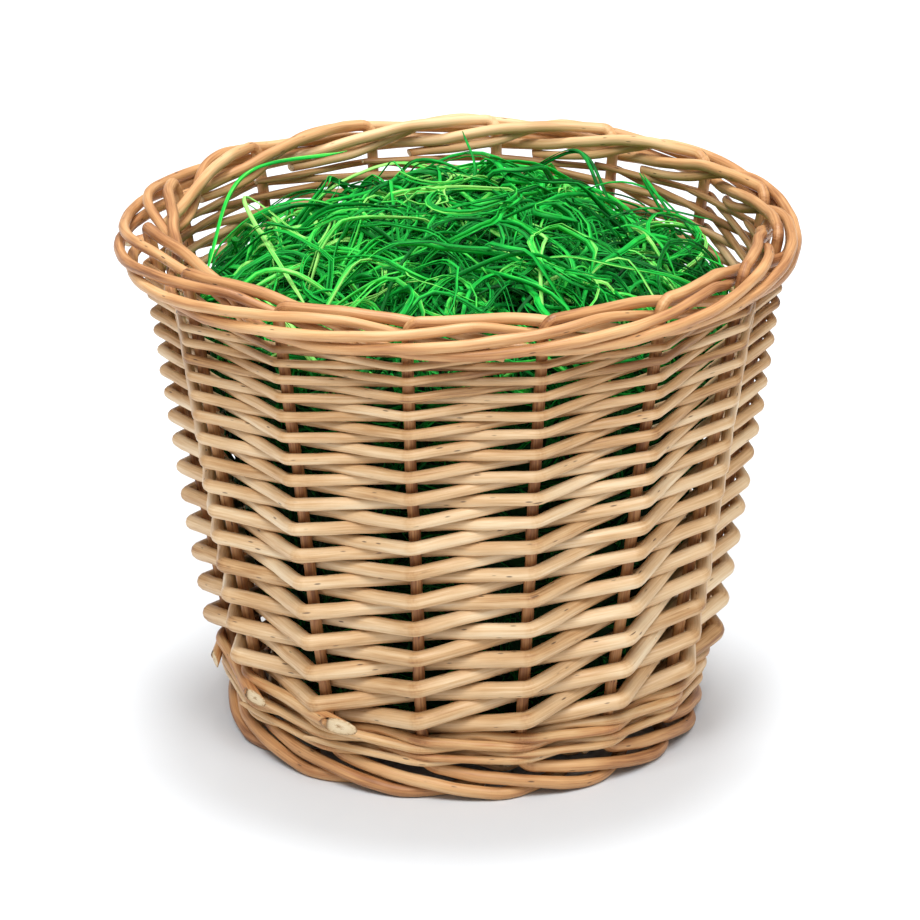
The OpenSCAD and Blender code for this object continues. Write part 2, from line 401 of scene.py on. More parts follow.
def straight(a, b):
    """Points after a, up to b, no further apart than the ring spacing."""
    count = max(1, math.ceil(np.linalg.norm(b[:3] - a[:3]) / RING_SPACING))
    return [mix(a, b, k / count) for k in range(1, count + 1)]


def along(line):
    steps = np.linalg.norm(np.diff(line[:, :3], axis=0), axis=1)
    return np.concatenate([[0.0], np.cumsum(steps)])


def grown(line, rng, wobble):
    """A grown rod: the centreline wanders a little, and the rod swells slightly at its nodes."""
    s = along(line)
    line = line.copy()
    for axis in range(3):
        for wave in (21.0, 47.0, 110.0):
            size = wobble * (wave / 110.0) ** 0.7 * rng.uniform(0.3, 1.0)
            line[:, axis] += size * np.sin(2 * math.pi * s / wave + rng.uniform(0, 2 * math.pi))
    swell = 1 + 0.02 * np.sin(2 * math.pi * s / 33.0 + rng.uniform(0, 6.3))
    place = rng.uniform(10, 50)
    while place < s[-1]:
        swell += rng.uniform(0.02, 0.07) * np.exp(-((s - place) / 3.0) ** 2)
        place += rng.uniform(35, 80)
    line[:, 3] *= swell
    return line


def frames(line, sides):
    """Unit vectors along the rod and across it, the first across vector leaning towards the side vectors."""
    points = line[:, :3]
    heading = unit(np.gradient(points, axis=0))
    n1 = unit(sides - (sides * heading).sum(1, keepdims=True) * heading)
    return heading, n1, np.cross(heading, n1)


def new_mesh(name, points, faces, materials, face_slots, attributes):
    mesh = bpy.data.meshes.new(name)
    mesh.from_pydata((points * MM).tolist(), [], faces)
    for material in materials:
        mesh.materials.append(material)
    mesh.polygons.foreach_set("material_index", face_slots)
    mesh.polygons.foreach_set("use_smooth", [True] * len(faces))
    for key, values in attributes.items():
        kind = "FLOAT_VECTOR" if values.ndim == 2 else "FLOAT"
        made = mesh.attributes.new(key, kind, "POINT")
        field = "vector" if values.ndim == 2 else "value"
        made.data.foreach_set(field, values.astype(np.float32).ravel())
    mesh.update()
    piece = bpy.data.objects.new(name, mesh)
    bpy.context.scene.collection.objects.link(piece)
    return piece


def end_places(rings):
    """Where the smaller end rings and the end middles of a rod start among its points."""
    first = rings * ROD_SIDES
    return (first, first + ROD_SIDES), (first + 2 * ROD_SIDES, first + 2 * ROD_SIDES + 1)


def rod_points(line, sides, cuts, split):
    """The rings of a rod's skin, then a smaller ring and a middle point for each of its two ends."""
    heading, n1, n2 = frames(line, sides)
    height = np.maximum(np.cos(TURN), 0.0) if split else np.cos(TURN)
    ring = height[None, :, None] * n1[:, None, :] + np.sin(TURN)[None, :, None] * n2[:, None, :]
    r = line[:, 3]
    slant = np.zeros((len(line), ROD_SIDES))
    slant[0] = -cuts[0] * r[0] * np.cos(TURN)
    slant[-1] = cuts[1] * r[-1] * np.cos(TURN)
    skin = line[:, None, :3] + r[:, None, None] * ring + slant[:, :, None] * heading[:, None, :]
    end_rings, middles = [], []
    for end, sign in ((0, -1), (-1, 1)):
        middle, ahead = line[end, :3], sign * r[end] * heading[end]
        end_rings.append(middle + END_RING * (skin[end] - middle) + 0.12 * ahead)
        middles.append(middle + 0.14 * ahead)
    return np.concatenate([skin.reshape(-1, 3), *end_rings, middles])


def rod_faces(rings):
    """The faces of a rod's skin, and those of its two ends."""
    ring_at, middle_at = end_places(rings)
    last = (rings - 1) * ROD_SIDES
    skin, ends = [], []
    for k in range(ROD_SIDES):
        nxt = (k + 1) % ROD_SIDES
        for i in range(rings - 1):
            a, b = i * ROD_SIDES + k, i * ROD_SIDES + nxt
            skin.append((a, b, b + ROD_SIDES, a + ROD_SIDES))
        ends.append((k, ring_at[0] + k, ring_at[0] + nxt, nxt))
        ends.append((ring_at[0] + k, middle_at[0], ring_at[0] + nxt))
        ends.append((last + nxt, ring_at[1] + nxt, ring_at[1] + k, last + k))
        ends.append((ring_at[1] + nxt, middle_at[1], ring_at[1] + k))
    return skin, ends


def rod_grain(line):
    """Each point's place in the straightened rod, and how far out it lies from the middle of an end."""
    ring_at, middle_at = end_places(len(line))
    r, s = line[:, 3], along(line)
    round_part = np.stack([np.cos(TURN), np.sin(TURN)], axis=1)
    grain = np.zeros((middle_at[1] + 1, 3))
    grain[:ring_at[0], :2] = (r[:, None, None] * round_part[None]).reshape(-1, 2)
    grain[:ring_at[0], 2] = np.repeat(s, ROD_SIDES)
    for end in (0, 1):
        rows = slice(ring_at[end], ring_at[end] + ROD_SIDES)
        grain[rows, :2] = END_RING * r[-end] * round_part
        grain[rows, 2] = s[-end]
        grain[middle_at[end], 2] = s[-end]
    across = np.ones(len(grain))
    across[ring_at[0]:middle_at[0]] = END_RING
    across[list(middle_at)] = 0.0
    return grain, across


def rod(name, line, sides, tone_and_shade, material, seed, cuts=(0.25, 0.25), split=False):
    """One willow rod with a slightly domed cut at each end; a split one is only the half at its side.

    The cuts say how far each end is slanted, in radii; the seed shifts the rod's grain.
    """
    points = rod_points(line, sides, cuts, split)
    skin, ends = rod_faces(len(line))
    grain, across = rod_grain(line)
    attributes = {"grain": grain * MM + GRAIN_SHIFT * (seed + 1), "across": across,
                  "tone_and_shade": per_point(tone_and_shade), "bend": per_point(line[:, 4])}
    face_slots = [0] * len(skin) + [1] * len(ends)
    return new_mesh(name, points, skin + ends, [material, CUT_WILLOW], face_slots, attributes)


def per_point(values):
    """One value for each ring, spread over the points of a rod and its two cut ends."""
    return np.concatenate([np.repeat(values, ROD_SIDES), np.full(ROD_SIDES, values[0]),
                           np.full(ROD_SIDES, values[-1]), [values[0], values[-1]]])


def wicker(piece, node):
    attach(piece, "basket")
    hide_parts(node)


def with_radii(points, radii):
    return np.array([[*p, r] for p, r in zip(points, radii)])


def lead_in(points, distance):
    return points[0] + distance * unit(points[0] - points[1])


def lead_out(points, distance):
    return points[-1] + distance * unit(points[-1] - points[-2])


# ---------------------------------------------------------------- stakes and borders
# A border's route is a list of spots: how many stakes along, radius and height
FOOT_R = STAKE_FOOT_R + 5.9
FLOOR_Z = STAKE_FOOT_D / 2
FOOT_ROUTE = [
    (2.6, FOOT_R - 13.9, FLOOR_Z),
    (2.3, FOOT_R - 7.9, FLOOR_Z),
    (2.0, FOOT_R - 2.8, FLOOR_Z),
    (1.75, FOOT_R - 0.6, FLOOR_Z),
    (1.4, FOOT_R, 5),
    (1.0, FOOT_R - 0.1, 8.2),
    (0.6, FOOT_R - 1.2, 10.2),
    (0.35, FOOT_R - 3.1, 11.3),
    (0.1, FOOT_R - 4.1, 12.8),
    (0, STAKE_FOOT_R + STAKE_LEAN * 17, 17),
]
CREST_Z = BASKET_H - STAKE_WALL_D / 2
RIM_R = STAKE_FOOT_R + STAKE_LEAN * SIDING_HIGH_Z
RIM_ROUTE = [
    (0, RIM_R + 2.2, CREST_Z - 4),
    (0.06, RIM_R + 2.3, CREST_Z - 0.4),
    (0.3, RIM_R + 0.6, CREST_Z),
    (0.6, RIM_R - 2.6, CREST_Z - 0.4),
    (0.8, RIM_R - 3.9, CREST_Z - 1.2),
    (1.0, RIM_R - 4.2, CREST_Z - 2.6),
    (1.25, RIM_R - 4.3, CREST_Z - 5),
    (1.5, RIM_R - 2.4, CREST_Z - 7.6),
    (1.75, RIM_R + 1.8, CREST_Z - 10.1),
    (2.0, RIM_R + 6.4, CREST_Z - 11.5),
    (2.5, RIM_R + 9.6, CREST_Z - 11.1),
    (3.0, RIM_R + 11, CREST_Z - 8.6),
    (3.5, RIM_R + 10.7, CREST_Z - 6.1),
    (4.0, RIM_R + 8.6, CREST_Z - 3.3),
    (4.3, RIM_R + 6.3, CREST_Z - 1.2),
    (4.55, RIM_R + 3.4, CREST_Z - 1.4),
    (4.8, RIM_R - 0.8, CREST_Z - 4.8),
    (5.0, RIM_R - 3.8, CREST_Z - 7.8),
    (5.25, RIM_R - 4.8, CREST_Z - 10.6),
    (5.45, RIM_R - 3.4, CREST_Z - 12.3),
    (5.7, RIM_R + 1.2, CREST_Z - 14.2),
]
RIM_END = 5.7
LOOSE_AZ = -82
LOOSE_SPREAD = 38
LOOSENESS = 0.58
LOOSE_TIP_STAKE = 6
LOOSE_TIP_REACH = 11
WALL_LOW_Z = 26
WALL_HIGH_Z = 196
RIM_KINK_REACH = 2.2
WALL_SHADE_TONE = 0.85
# Heights where the painted shade of a stake's stretch in the wall fades in and out
FOOT_TONE_Z = (14, 24)
RIM_TONE_Z = (192, 204)


def border_point(i, spot):
    return polar(stake_az(i + spot[0]), spot[1], spot[2])


def rim_point(i, spot, rng):
    """A point of the rim border, which is looser on the left and nowhere quite even."""
    turn, r, z = spot
    from_left = (stake_az(i + turn) - LOOSE_AZ + 180) % 360 - 180
    looseness = LOOSENESS * math.exp(-(from_left / LOOSE_SPREAD) ** 2)
    r += (r - RIM_R) * looseness + rng.uniform(-0.7, 0.7)
    z += rng.uniform(-0.5, 0.3)
    return polar(stake_az(i + turn), r, z)


def border_painted_shading(line):
    """Painted shading of the borders: darker and ruddier at the sides, paler at the back."""
    az = np.arctan2(line[:, 0], -line[:, 1])
    return 0.17 + 0.55 * np.sin(az) ** 2 - 0.25 * (1 - np.cos(az))


def make_stake(i):
    rng = random.Random(100 + i)
    points = [border_point(i, spot) for spot in FOOT_ROUTE]
    points += [polar(stake_az(i), stake_r(z), z) for z in (WALL_LOW_Z, WALL_HIGH_Z)]
    points += [rim_point(i, spot, rng) for spot in RIM_ROUTE]
    if i == LOOSE_TIP_STAKE:
        points[-1] = points[-1] + LOOSE_TIP_REACH * outward(points[-1])
    radii = [STAKE_FOOT_D / 2] * len(FOOT_ROUTE) + [STAKE_WALL_D / 2] * 2
    radii += [mix(STAKE_WALL_D, STAKE_TIP_D, (spot[0] / RIM_END) ** 3) / 2 for spot in RIM_ROUTE]
    reaches = [20.0] * len(points)
    reaches[len(FOOT_ROUTE) + 3] = RIM_KINK_REACH
    line = grown(eased(with_radii(points, radii), reaches), rng, STAKE_WOBBLE)
    line[:, 2] = np.maximum(line[:, 2], line[:, 3])
    z = line[:, 2]
    # Painted shade: a stake's stretch in the wall, between the weavers, gets a darker tone than its borders
    in_wall = fade_in(z, *FOOT_TONE_Z) * (1 - fade_in(z, *RIM_TONE_Z))
    tone_and_shade = mix(border_painted_shading(line) + 0.3 * rng.random(), WALL_SHADE_TONE, in_wall)
    node = f"stake_{i + 1:02d}"
    piece = rod(node + "_rod", line, outward(line[:, :3]), tone_and_shade, STAKE_WILLOW, i, cuts=(0.5, 0.7))
    wicker(piece, node)


# ---------------------------------------------------------------- siding and wale
def crossing(i, z, r, outside):
    """Where a rod of radius r passes stake i at height z, outside or inside it."""
    reach = STAKE_WALL_D / 2 + r + GAP
    return polar(stake_az(i), stake_r(z) + (OUTER_BEND * reach if outside else -INNER_BEND * reach), z)


def weaver_r(row):
    """Radius of a weaver, which tapers from row to row."""
    return mix(WEAVER_BUTT_D, WEAVER_TIP_D, max(row, 0) / LAST_OUTER_ROW) / 2


def row_z(row, i):
    """Height of a weaver at stake i; the step at the wale's end dies out towards the rim."""
    drop = (WEAVER_BUTT_D - WEAVER_TIP_D) * row * row / (2 * LAST_OUTER_ROW)
    rise = ROW_GAIN * (WEAVER_BUTT_D * row - drop)
    past_end = (i - WALE_END_STAKE) % STAKES
    settle = WALE_RISE * max(past_end + 1, LEVEL_STAKES) / STAKES * (LAST_ROW - row) / (LAST_ROW + 1)
    return SIDING_LOW_Z + rise + settle


def make_weaver(i):
    rng = random.Random(200 + i)
    rows = range(FIRST_ROW, LAST_ROW + 1)
    points = []
    for row in rows:
        outside = row % 2 == 0
        point = crossing(i + row, row_z(row, i + row) + rng.uniform(-0.35, 0.35), weaver_r(row), outside)
        points.append(point + (OUTER_PUSH * outward(point) if outside else 0.0))
    radii = [weaver_r(row) for row in rows]
    route = with_radii([lead_in(points, BUTT_OVERHANG), *points, lead_out(points, TIP_OVERHANG)],
                       [radii[0], *radii, radii[-1] * 0.7])
    route[:, 3] *= rng.uniform(0.97, 1.03)
    reaches = [5.0] + [OUTER_CORNER if row % 2 == 0 else INNER_CORNER for row in rows] + [5.0]
    line = grown(eased(route, reaches), rng, WEAVER_WOBBLE)
    s = along(line)
    # Painted shade: the last term darkens each weaver towards its tip, in the top rows under the rim
    tone_and_shade = rng.uniform(0.0, 0.40) + 0.35 * np.exp(-s / 110) + 0.75 * (s / s[-1]) ** 4
    node = f"weaver_{i + 1:02d}"
    piece = rod(node + "_rod", line, outward(line[:, :3]), tone_and_shade, WEAVER_WILLOW, 20 + i, cuts=(0.7, 0.3))
    wicker(piece, node)


def wale_d(n):
    """Thickness of a wale rod n stakes after the start of the wale."""
    return mix(WALE_TIP_D, WALE_BUTT_D, (n / WALE_STROKES) ** WALE_SWELL)


def wale_climb(n):
    """How much higher the wale is one round after its stake n."""
    return WALE_SPACING * (1.5 * wale_d(n) + 0.5 * wale_d(n + STAKES))


def wale_z(n):
    """Height of the wale at its stake n."""
    if n < STAKES:
        return WALE_LOW_Z + wale_climb(0) * n / STAKES
    return wale_z(n - STAKES) + wale_climb(n - STAKES)


def wale_point(n, lift, outside):
    """Where a wale rod passes stake n of the wale, lifted by a number of thicknesses."""
    z = wale_z(n) + lift * WALE_SPACING * wale_d(n)
    return crossing(WALE_FIRST_STAKE + n, z, wale_d(n) / 2, outside)


def make_wale_rod(k):
    rng = random.Random(300 + k)
    points, radii = [], []
    for n in range(k, WALE_STROKES, WALE_RODS):
        points += [wale_point(n, 1, True), wale_point(n + 1, 0, True)]
        radii += [wale_d(n) / 2, wale_d(n + 1) / 2]
        if n + WALE_RODS < WALE_STROKES:
            inside, after = wale_point(n + 2, 0, False), wale_point(n + 3, 1, True)
            middle = (inside + after) / 2
            points += [inside, np.array([middle[0], middle[1], after[2]])]
            radii += [wale_d(n + 2) / 2, wale_d(n + 2.5) / 2]
    route = with_radii([lead_in(points, WALE_OVERHANG), *points, lead_out(points, WALE_OVERHANG + 4)],
                       [WALE_TIP_D / 4, *radii, WALE_BUTT_D / 2])
    line = grown(eased(route, [6.0] * len(route)), rng, WALE_WOBBLE)
    near_end = smooth_step(1 - (along(line)[-1] - along(line)) / BUTT_LENGTH)
    swell = BUTT_SWELLS[k]
    line[:, 3] *= mix(WALE_STOUTNESS, swell, near_end)
    line[:, :3] += (BUTT_PUSH * (swell - 1) * near_end)[:, None] * (outward(line[:, :3]) + 0.9 * UP)
    tone_and_shade = mix(0.26, 0.66, np.linspace(0, 1, len(line))) + 0.2 * near_end
    node = f"wale_rod_{k + 1}"
    piece = rod(node + "_rod", line, outward(line[:, :3]), tone_and_shade, WALE_WILLOW, 40 + k, cuts=(0.3, BUTT_CUT))
    wicker(piece, node)


# ---------------------------------------------------------------- base
def base_stick_points(m):
    """A stick of the base: straight through the slath, then opened out into two rays."""
    across = (m - 1.5) * SLATH_PITCH
    a = math.radians((m - 1.5) * 360 / BASE_RAYS)
    bend = np.array([RAY_START_R * math.cos(a), RAY_START_R * math.sin(a)])
    end = np.array([BASE_REACH * math.cos(a), BASE_REACH * math.sin(a)])
    flat = [(-end[0], end[1]), (-bend[0], bend[1]), (-SLATH_HALF, across),
            (SLATH_HALF, across), (bend[0], bend[1]), (end[0], end[1])]
    return [np.array([x, y, BASE_Z]) for x, y in flat]


def stick_line(points, radius, rng):
    line = eased(with_radii(points, [radius] * len(points)), [6.0] * len(points))
    return grown(line, rng, STICK_WOBBLE)


def make_through_stick(m):
    rng = random.Random(400 + m)
    line = stick_line(base_stick_points(m), BASE_STICK_D / 2, rng)
    tone_and_shade = np.full(len(line), rng.uniform(0.1, 0.5))
    node = f"base_stick_{m + 1}"
    piece = rod(node + "_rod", line, np.tile(UP, (len(line), 1)), tone_and_shade, BASE_WILLOW, 50 + m)
    wicker(piece, node)


def make_split_stick(m):
    """A split stick: two half rods that part in the middle to let the through sticks pass."""
    rng = random.Random(410 + m)
    node = f"base_stick_{m + 1 + BASE_STICKS // 2}"
    warm = rng.uniform(0.1, 0.5)
    for side, half in ((1, "upper"), (-1, "lower")):
        points = [np.array([-p[1], p[0], p[2]]) for p in base_stick_points(m)]
        line = eased(with_radii(points, [BASE_STICK_D / 2] * len(points)), [6.0] * len(points))
        parted = 1 - smooth_step((np.abs(line[:, 1]) - SLATH_HALF + 4) / 10)
        line[:, 2] += side * parted * (BASE_STICK_D / 2 + GAP)
        piece = rod(f"{node}_{half}", line, np.tile(side * UP, (len(line), 1)), np.full(len(line), warm),
                    BASE_WILLOW, 60 + m, split=True)
        wicker(piece, node)


def base_weaver_d(r):
    """Thickness of a base weaver at radius r."""
    t = (r - BASE_WEAVE_START_R) / (BASE_WEAVE_END_R - BASE_WEAVE_START_R)
    return mix(BASE_WEAVER_INNER_D, BASE_WEAVER_OUTER_D, t)


def make_base_weaver(k):
    """A flat spiral over and under the rays; it leans from ray to ray, which takes a little more lift."""
    rng = random.Random(500 + k)
    turns = (BASE_WEAVE_END_R - BASE_WEAVE_START_R) / (2 * BASE_ROUND_PITCH)
    points, radii = [], []
    for n in range(math.floor(turns * BASE_RAYS) + 1):
        r = BASE_WEAVE_START_R + 2 * BASE_ROUND_PITCH * n / BASE_RAYS
        d = base_weaver_d(r)
        need = BASE_STICK_D / 2 + d / 2 + GAP
        lean = 2 * need / (r * 2 * math.pi / BASE_RAYS)
        lift = need / math.sqrt(1 - lean * lean)
        z = BASE_Z + (lift if (n + k) % 2 == 0 else -lift)
        points.append(polar(360 * (n + 0.5) / BASE_RAYS + 180 * k, r, z))
        radii.append(d / 2)
    line = grown(eased(with_radii(points, radii), [4.0] * len(points)), rng, BASE_WEAVER_WOBBLE)
    tone_and_shade = np.full(len(line), rng.uniform(0.0, 0.3))
    node = f"base_weaver_{k + 1}"
    piece = rod(node + "_rod", line, outward(line[:, :3]), tone_and_shade, BASE_WILLOW, 70 + k)
    wicker(piece, node)


# ---------------------------------------------------------------- wood wool
GRASS_LOW, GRASS_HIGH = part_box("grass_filling")
GRASS_R = GRASS_HIGH.x / MM
GRASS_MID_Z = GRASS_HIGH.z / MM
GRASS_FLOOR_Z = GRASS_LOW.z / MM
NEST_DOME = 29
GRASS_EDGE_Z = GRASS_MID_Z - NEST_DOME
GRASS_FOOT_R = 80
STRAND_TOP_Z = BASKET_H + 4.5
CROWN_RISE = 5
TOP_RINGS = 18
SIDE_RINGS = 14
CORE_SIDES = 96
CORE_DEPTH = 7.0
SIDE_LIGHT_Z = (130, 195)
RIBBON_SECTION = np.array([[-1, 0], [1, 0], [1, 0.3], [-1, 0.3]]) * MM
RIBBON_SHIFT = np.array([0.013, 0.007])
RIBBON_GRAIN = 90


def dome_z(r):
    """Height of the top of the nest at radius r."""
    t = np.clip(r / GRASS_R, 0, 1)
    return GRASS_MID_Z - NEST_DOME * t * t


def heaped_z(x, y):
    """Height of the top of the nest, which is heaped a little higher behind its middle."""
    return dome_z(np.hypot(x, y)) + CROWN_RISE * np.exp(-(x / 62) ** 2 - ((y - 38) / 42) ** 2)


def side_r(z):
    """Radius of the nest at height z."""
    t = np.clip((z - GRASS_FLOOR_Z) / (GRASS_EDGE_Z - 8 - GRASS_FLOOR_Z), 0, 1)
    return mix(GRASS_FOOT_R, GRASS_R - 1, t)


def wander(rng, length, tight, count):
    """A flat curve centred on the origin; some curl tightly and the others swing slowly to and fro."""
    s = np.linspace(0, length, count)
    rate = rng.gauss(0, 1 / 60) if rng.random() > tight else rng.choice((-1, 1)) / rng.uniform(9, 24)
    swing = 2 * math.pi * s / rng.uniform(25, 130) + rng.uniform(0, 6.3)
    kinked = s > rng.uniform(0.2, 0.8) * length
    heading = rng.uniform(0, 2 * math.pi) + rate * s + rng.uniform(0.1, 0.5) * np.sin(swing)
    heading = heading + rng.gauss(0, 0.45) * kinked
    step = length / (count - 1)
    x = np.concatenate([[0], np.cumsum(np.cos(heading[:-1]) * step)])
    y = np.concatenate([[0], np.cumsum(np.sin(heading[:-1]) * step)])
    return x - x.mean(), y - y.mean(), s


def wave(rng, s, low, high):
    """A rise and fall along a strand, of a height between low and high."""
    return rng.uniform(low, high) * np.sin(2 * math.pi * s / rng.uniform(30, 95) + rng.uniform(0, 6.3))


def scattered(rng, x, y, limit):
    """Moves a flat curve to a random spot and presses it back inside the limit radius."""
    az, r = rng.uniform(0, 2 * math.pi), (limit - 6) * math.sqrt(rng.random())
    x, y = x + r * math.cos(az), y + r * math.sin(az)
    squeeze = np.minimum(1.0, limit / np.maximum(np.hypot(x, y), 1e-6))
    return x * squeeze, y * squeeze


def top_strand(rng):
    x, y, s = wander(rng, rng.uniform(14, 76), 0.24, TOP_RINGS)
    x, y = scattered(rng, x, y, GRASS_R - 2.5)
    sunk = rng.uniform(0, 15)
    z = heaped_z(x, y) - sunk + wave(rng, s, 1.5, 8.5) + wave(rng, s, 0.5, 4.5)
    # Painted shade: the deeper a top strand is sunk, the darker its tone
    return np.stack([x, y, np.minimum(z, STRAND_TOP_Z - 1)], axis=1), mix(1.0, 0.40, sunk / 15)


def stray_strand(rng):
    """A strand that springs out of the nest in an arch and dips back into it."""
    x, y, s = wander(rng, rng.uniform(60, 120), 0.3, TOP_RINGS)
    x, y = scattered(rng, x, y, GRASS_R - 5)
    arch = np.sin(math.pi * s / s[-1]) ** rng.uniform(0.6, 1.4)
    z = heaped_z(x, y) - 5 + rng.uniform(8, 24) * arch + wave(rng, s, 0.3, 3.0)
    return np.stack([x, y, np.minimum(z, STRAND_TOP_Z - rng.uniform(0, 4))], axis=1), 1.1


def side_strand(rng):
    u, v, s = wander(rng, rng.uniform(30, 110), 0.25, SIDE_RINGS)
    z = rng.uniform(GRASS_FLOOR_Z + 2, GRASS_EDGE_Z) + v * 0.7
    z = np.clip(z, GRASS_FLOOR_Z + 1, GRASS_EDGE_Z + 3)
    az = rng.uniform(0, 2 * math.pi) + u / 95
    r = side_r(z) - rng.uniform(1.0, 7.0) - np.abs(wave(rng, s, 0.5, 4.0))
    # Painted shade: side strands lower down are toned darker
    in_light = float(fade_in(z.mean(), *SIDE_LIGHT_Z))
    return np.stack([r * np.cos(az), r * np.sin(az), z], axis=1), mix(0.30, 0.9, in_light)


def bottom_strand(rng):
    x, y, s = wander(rng, rng.uniform(30, 100), 0.25, SIDE_RINGS)
    x, y = scattered(rng, x, y, GRASS_FOOT_R - 4)
    z = GRASS_FLOOR_Z + rng.uniform(0.6, 6.0) + np.abs(wave(rng, s, 0.2, 3.0))
    # Painted shade: the bottom strands are toned darker
    return np.stack([x, y, z], axis=1), 0.5


def smooth_through(spots, count=40):
    """A smooth curve through a few given spots (Catmull-Rom)."""
    p = np.array(spots, dtype=float)
    p = np.vstack([2 * p[0] - p[1], p, 2 * p[-1] - p[-2]])
    u = np.linspace(0, len(spots) - 1, count)
    i = np.minimum(u.astype(int), len(spots) - 2)
    t = (u - i)[:, None]
    a, b, c, d = (p[i + k] for k in range(4))
    square, cube = 2 * a - 5 * b + 4 * c - d, 3 * b - 3 * c + d - a
    return 0.5 * (2 * b + (c - a) * t + square * t ** 2 + cube * t ** 3)


# Long strands that stand clear of the nest, each as (azimuth, radius, height over the nest) spots
# and how pale it is
LOOSE_STRANDS = [
    ([(-85, 105, 10), (-120, 105, 30), (-145, 85, 25)], 1.3),
    ([(-40, 95, 10), (-105, 95, 25), (-80, 60, 0)], 1.5),
    ([(-110, 95, 20), (-90, 65, 5), (-125, 70, 0)], 1.4),
    ([(180, 20, 0), (175, 55, 10), (180, 90, 30)], 1.0),
    ([(165, 85, 10), (145, 80, 25), (130, 75, 5)], 0.7),
    ([(115, 60, 0), (105, 80, 15), (95, 105, 25)], 0.8),
    ([(120, 85, 25), (110, 90, 15), (110, 100, 5)], 1.1),
    ([(105, 70, 5), (85, 75, 10), (75, 90, 0)], 1.6),
    ([(-155, 65, 5), (-165, 45, 15), (-135, 15, 0)], 1.2),
]


def loose_strand(spots):
    """The middle line of a loose strand."""
    points = []
    for az, r, lift in spots:
        x, y, _ = polar(az, r, 0)
        points.append((x, y, min(heaped_z(x, y) + lift, STRAND_TOP_Z - 1)))
    return smooth_through(points)


def tuft(rng, curve, light, count):
    """Several strands that lie side by side and fan out towards one end, as (curve, tone) pairs."""
    fan = np.linspace(0.5, 2.2, len(curve))[:, None]
    pale = 0.37 if rng.random() < 0.23 else 0.0
    tone = rng.gauss(0.46, 0.11) + pale
    made = []
    for _ in range(count):
        aside = np.array([rng.gauss(0, 0.8), rng.gauss(0, 0.8), rng.gauss(0, 0.5)])
        # Painted shade: the light factor darkens strands that lie deep or low in the nest
        shaded_tone = (tone + rng.gauss(0, 0.08)) * light
        made.append((curve + aside * fan, min(0.98, max(0.05, shaded_tone))))
    return made


def tufts(rng, make_strand, count, most):
    """A layer of about that many strands, in tufts of one to most."""
    made = []
    while len(made) < count:
        curve, light = make_strand(rng)
        made += tuft(rng, curve, light, rng.randint(1, most))
    return made


def ribbon_points(curve, rng, widths):
    """Rings of four corners for one thin flat strand that twists along its length."""
    heading = unit(np.gradient(curve, axis=0))
    lean = unit(np.array([rng.uniform(-0.8, 0.8), rng.uniform(-0.8, 0.8), 1.0]))
    across = unit(np.cross(heading, np.tile(lean, (len(curve), 1))) + 1e-6)
    face_up = np.cross(across, heading)
    s = np.linspace(0, 1, len(curve))
    roll = rng.uniform(-0.7, 0.7) + rng.uniform(-2.6, 2.6) * s
    wide = np.cos(roll)[:, None] * across + np.sin(roll)[:, None] * face_up
    thick = np.cross(wide, heading)
    taper = np.clip(np.minimum(s, 1 - s) * 9, 0.3, 1)[:, None]
    half_w = mix(*widths, rng.random() ** 1.6) * taper
    half_t = rng.uniform(0.10, 0.18)
    signs = ((-1, -1), (1, -1), (1, 1), (-1, 1))
    corners = [curve + a * half_w * wide + b * half_t * thick for a, b in signs]
    return np.stack(corners, axis=1).reshape(-1, 3)


def ribbon_faces(start, rings):
    """The four sides and the two ends of a strand whose points begin at start."""
    faces = []
    for i in range(rings - 1):
        for k in range(4):
            a, b = start + 4 * i + k, start + 4 * i + (k + 1) % 4
            faces.append((a, b, b + 4, a + 4))
    end = start + 4 * (rings - 1)
    faces.append((start + 3, start + 2, start + 1, start))
    faces.append((end, end + 1, end + 2, end + 3))
    return faces


def ribbons(name, strands, rng, widths=(0.35, 1.1)):
    """All the strands of one layer as one mesh."""
    points, faces, grain, hue_and_shade = [], [], [], []
    start = 0
    for index, (curve, tone) in enumerate(strands):
        rings = len(curve)
        points.append(ribbon_points(curve, rng, widths))
        faces += ribbon_faces(start, rings)
        place = RIBBON_SECTION + RIBBON_SHIFT * index
        length = np.repeat(RIBBON_GRAIN * np.linspace(0, 1, rings) * MM, 4)
        grain.append(np.column_stack([np.tile(place, (rings, 1)), length]))
        hue_and_shade.append(np.full(4 * rings, tone))
        start += 4 * rings
    return new_mesh(name, np.concatenate(points), faces, [GRASS], [0] * len(faces),
                    {"grain": np.concatenate(grain), "tone_and_shade": np.concatenate(hue_and_shade)})


def make_core():
    """The dense, lumpy middle of the nest, a little smaller than the strands round it, in painted shade."""
    rng = random.Random(900)
    lumps = [(rng.uniform(3, 9), rng.uniform(0.03, 0.09), rng.uniform(0, 6.3)) for _ in range(9)]
    outline = [(0.1, GRASS_FLOOR_Z + 5), (GRASS_FOOT_R - CORE_DEPTH - 4, GRASS_FLOOR_Z + 5)]
    outline += [(side_r(z) - CORE_DEPTH, z) for z in np.linspace(GRASS_FLOOR_Z + 9, GRASS_EDGE_Z - 14, 22)]
    outline += [(r, dome_z(r) - 12) for r in np.linspace(GRASS_R - CORE_DEPTH - 3, 0.1, 22)]
    points = []
    for r, z in outline:
        for k in range(CORE_SIDES):
            a = 2 * math.pi * k / CORE_SIDES
            bump = sum(math.sin(m * a + q * z + p) for m, q, p in lumps) / len(lumps)
            lumpy_r = r + 4 * bump * min(1, r / 20)
            points.append([lumpy_r * math.cos(a), lumpy_r * math.sin(a), z + 2.5 * bump])
    faces = []
    for i in range(len(outline) - 1):
        for k in range(CORE_SIDES):
            a, b = i * CORE_SIDES + k, i * CORE_SIDES + (k + 1) % CORE_SIDES
            faces.append((a, b, b + CORE_SIDES, a + CORE_SIDES))
    faces.append(tuple(reversed(range(CORE_SIDES))))
    faces.append(tuple(range((len(outline) - 1) * CORE_SIDES, len(outline) * CORE_SIDES)))
    points = np.array(points)
    return new_mesh("wood_wool_shaded_core", points, faces, [GRASS_CORE_SHADE], [0] * len(faces),
                    {"grain": points * MM, "tone_and_shade": np.full(len(points), 0.4)})


